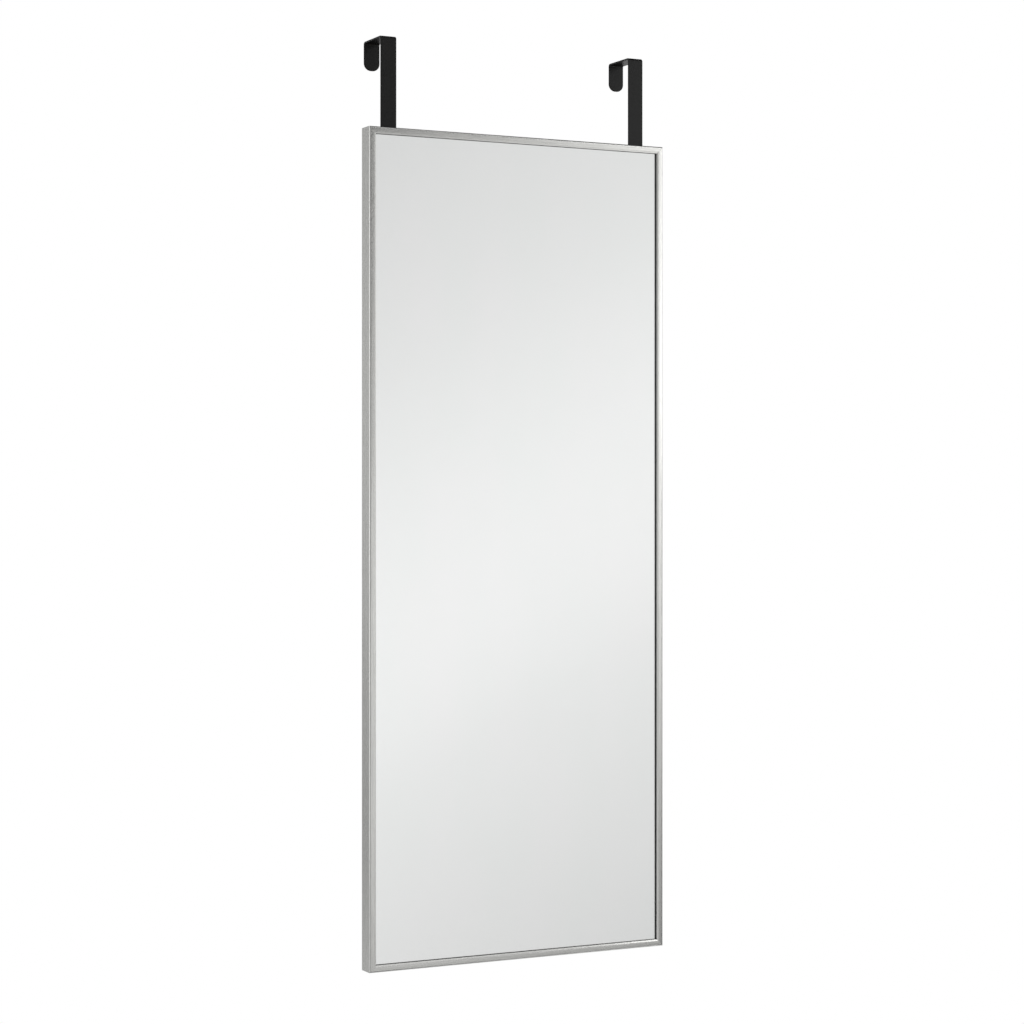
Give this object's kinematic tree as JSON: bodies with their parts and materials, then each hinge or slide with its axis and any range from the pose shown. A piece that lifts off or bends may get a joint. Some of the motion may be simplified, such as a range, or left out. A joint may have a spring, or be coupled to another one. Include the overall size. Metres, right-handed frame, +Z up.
{
  "type": "over the door mirror",
  "caption": "Tall rectangular mirror in a slim mitred aluminium frame, hung over a door on bent flat steel hooks.",
  "frame": {"origin": "top front edge of the door that the mirror hangs on, midway between the two hooks", "axes": "+X to the right as seen by someone who faces the mirror, +Y through the door and away from the mirror face, +Z up"},
  "size_m": [0.4, 0.0665, 1.111],
  "materials": {
    "frame_aluminium": "satin, brushed along each rail",
    "key_metal": "die-cast, grey",
    "screw_steel": "black oxide",
    "mirror": "clear float glass, silvered",
    "film": "matt film",
    "foam": "closed-cell foam",
    "hardboard": "raw hardboard, meshed back",
    "gasket_rubber": "satin black",
    "spring_steel": "blued spring steel",
    "black_powder_coat": "satin black powder coat",
    "bumper_rubber": "matt rubber"
  },
  "bodies": {
    "root": {"rail_top": "frame_aluminium", "rail_bottom": "frame_aluminium", "rail_left": "frame_aluminium", "rail_right": "frame_aluminium", "corner_key_top_left": "key_metal", "corner_key_top_right": "key_metal", "corner_key_bottom_left": "key_metal", "corner_key_bottom_right": "key_metal", "corner_set_screws": "screw_steel", "mirror_glass": "mirror", "safety_film": "film", "foam_liner": "foam", "backing_board": "hardboard", "gasket_top": "gasket_rubber", "gasket_bottom": "gasket_rubber", "gasket_left": "gasket_rubber", "gasket_right": "gasket_rubber", "leaf_springs": "spring_steel", "hook_left": "black_powder_coat", "hook_right": "black_powder_coat", "hook_set_screws": "screw_steel", "bumper_top_left": "bumper_rubber", "bumper_top_right": "bumper_rubber", "bumper_bottom_left": "bumper_rubber", "bumper_bottom_right": "bumper_rubber"}
  },
  "joints": []
}
